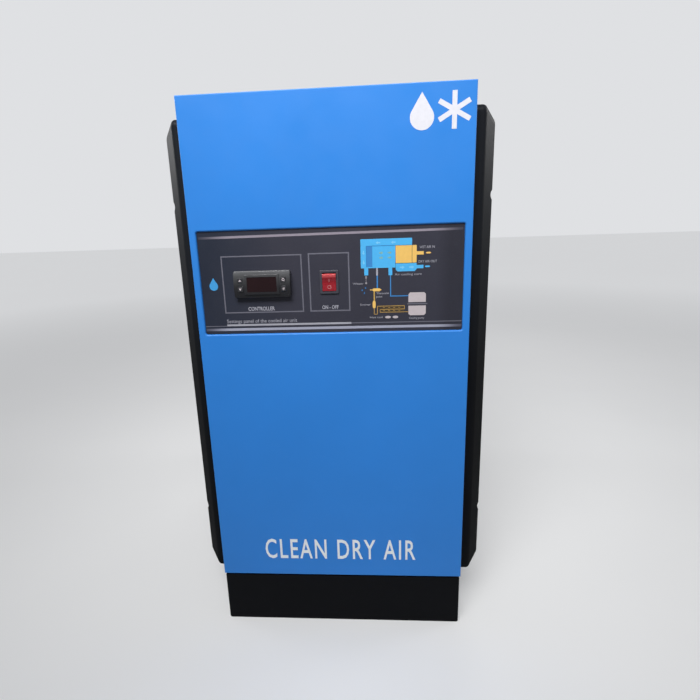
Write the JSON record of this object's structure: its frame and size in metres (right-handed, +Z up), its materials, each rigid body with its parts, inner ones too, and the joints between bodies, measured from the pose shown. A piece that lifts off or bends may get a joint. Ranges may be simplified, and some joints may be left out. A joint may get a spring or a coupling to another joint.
{
  "type": "refrigerated air dryer",
  "caption": "Upright refrigerated compressed-air dryer in a sheet-metal cabinet with a recessed control strip, louvred side covers and rear air ports.",
  "frame": {"origin": "on the floor, under the centre of the bounding box", "axes": "+Z up, -Y out of the front panel, +X to the right of someone facing the front"},
  "size_m": [0.446, 0.6924, 0.8],
  "materials": {
    "panel_blue": "satin powder coat, sky blue",
    "cabinet_black": "semi-gloss powder coat with a fine orange peel, near black",
    "plinth_black": "satin powder coat, black",
    "zinc_sheet": "zinc-coated sheet",
    "screw_black": "blackened screw heads",
    "overlay_film": "satin polyester film, dark grey",
    "controller_black": "fine-grained moulded plastic",
    "controller_smoke": "smoked acrylic window",
    "board_green": "solder-masked board",
    "key_black": "soft key caps",
    "switch_black": "moulded nylon",
    "rocker_red": "translucent red polycarbonate",
    "port_steel": "zinc-plated steel",
    "fitting_brass": "cast and turned brass",
    "core_aluminium": "brazed block",
    "foam_black": "closed-cell foam",
    "compressor_black": "gloss enamel",
    "grommet_rubber": "moulded rubber",
    "tube_copper": "drawn copper, slightly darkened",
    "fin_aluminium": "thin fins",
    "fan_aluminium": "pressed blades",
    "motor_black": "enamel",
    "lever_red": "dipped handle",
    "bowl_clear": "clear polycarbonate",
    "float_white": "moulded plastic",
    "hose_blue": "polyurethane tube",
    "contactor_grey": "moulded plastic",
    "terminal_beige": "moulded plastic",
    "cable_black": "sheathed wire bundle",
    "gland_black": "nylon"
  },
  "bodies": {
    "cabinet": {"base_tray": "plinth_black", "plinth_front": "plinth_black", "plinth_rear": "plinth_black", "side_frame_left": "zinc_sheet", "side_frame_right": "zinc_sheet", "front_panel": "panel_blue", "rear_panel": "cabinet_black", "panel_screws": "screw_black", "top_cover": "cabinet_black", "side_cover_left": "cabinet_black", "side_cover_right": "cabinet_black", "cover_screws": "screw_black", "shelf": "zinc_sheet", "control_overlay": "overlay_film", "controller_housing": "controller_black", "controller_lens": "controller_smoke", "controller_board": "board_green", "switch_housing": "switch_black", "air_inlet_port": "port_steel", "air_outlet_port": "port_steel", "port_locknuts": "port_steel", "exchanger": "core_aluminium", "insulation_lower": "foam_black", "insulation_upper": "foam_black", "compressor_shell": "compressor_black", "compressor_feet": "compressor_black", "compressor_grommets": "grommet_rubber", "compressor_bolts": "port_steel", "compressor_terminal_cover": "switch_black", "condenser_tube": "tube_copper", "condenser_fins": "fin_aluminium", "condenser_end_plates": "zinc_sheet", "fan_shroud": "motor_black", "fan_motor": "motor_black", "fan_bracket": "port_steel", "suction_line": "tube_copper", "discharge_line": "tube_copper", "liquid_line_lower": "tube_copper", "filter_drier": "tube_copper", "liquid_line_upper": "tube_copper", "expansion_valve": "fitting_brass", "drain_strainer": "fitting_brass", "drain_valve_body": "fitting_brass", "auto_drain_head": "fitting_brass", "auto_drain_bowl": "bowl_clear", "drain_tube": "hose_blue", "drain_outlet": "fitting_brass", "electrical_plate": "zinc_sheet", "contactor": "contactor_grey", "terminal_block": "terminal_beige", "cable_gland": "gland_black", "control_harness": "cable_black"},
    "rocker": {"switch_rocker": "rocker_red"},
    "key_up": {"controller_key_up": "key_black"},
    "key_down": {"controller_key_down": "key_black"},
    "key_set": {"controller_key_set": "key_black"},
    "key_defrost": {"controller_key_defrost": "key_black"},
    "fan": {"fan_wheel": "fan_aluminium"},
    "drain_lever": {"drain_valve_lever": "lever_red"},
    "drain_float": {"auto_drain_float": "float_white"}
  },
  "joints": [
    {"name": "rocker_tilt", "type": "hinge", "parent": "cabinet", "child": "rocker", "pos_m": [-0.001, -0.33325, 0.5582], "axis": [1, 0, 0], "range_deg": [-16, 0]},
    {"name": "key_up_press", "type": "slide", "parent": "cabinet", "child": "key_up", "axis": [0, 1, 0], "range_m": [0, 0.0006], "stiffness_N_per_m": 500},
    {"name": "key_down_press", "type": "slide", "parent": "cabinet", "child": "key_down", "axis": [0, 1, 0], "range_m": [0, 0.0006], "stiffness_N_per_m": 500},
    {"name": "key_set_press", "type": "slide", "parent": "cabinet", "child": "key_set", "axis": [0, 1, 0], "range_m": [0, 0.0006], "stiffness_N_per_m": 500},
    {"name": "key_defrost_press", "type": "slide", "parent": "cabinet", "child": "key_defrost", "axis": [0, 1, 0], "range_m": [0, 0.0006], "stiffness_N_per_m": 500},
    {"name": "fan_spin", "type": "hinge", "parent": "cabinet", "child": "fan", "pos_m": [-0.1175, 0.10125, 0.28], "axis": [1, 0, 0], "continuous": true},
    {"name": "drain_lever_turn", "type": "hinge", "parent": "cabinet", "child": "drain_lever", "pos_m": [0, -0.10175, 0.442], "axis": [0, -1, 0], "range_deg": [0, 90]},
    {"name": "float_lift", "type": "slide", "parent": "cabinet", "child": "drain_float", "axis": [0, 0, 1], "range_m": [0, 0.012]}
  ]
}
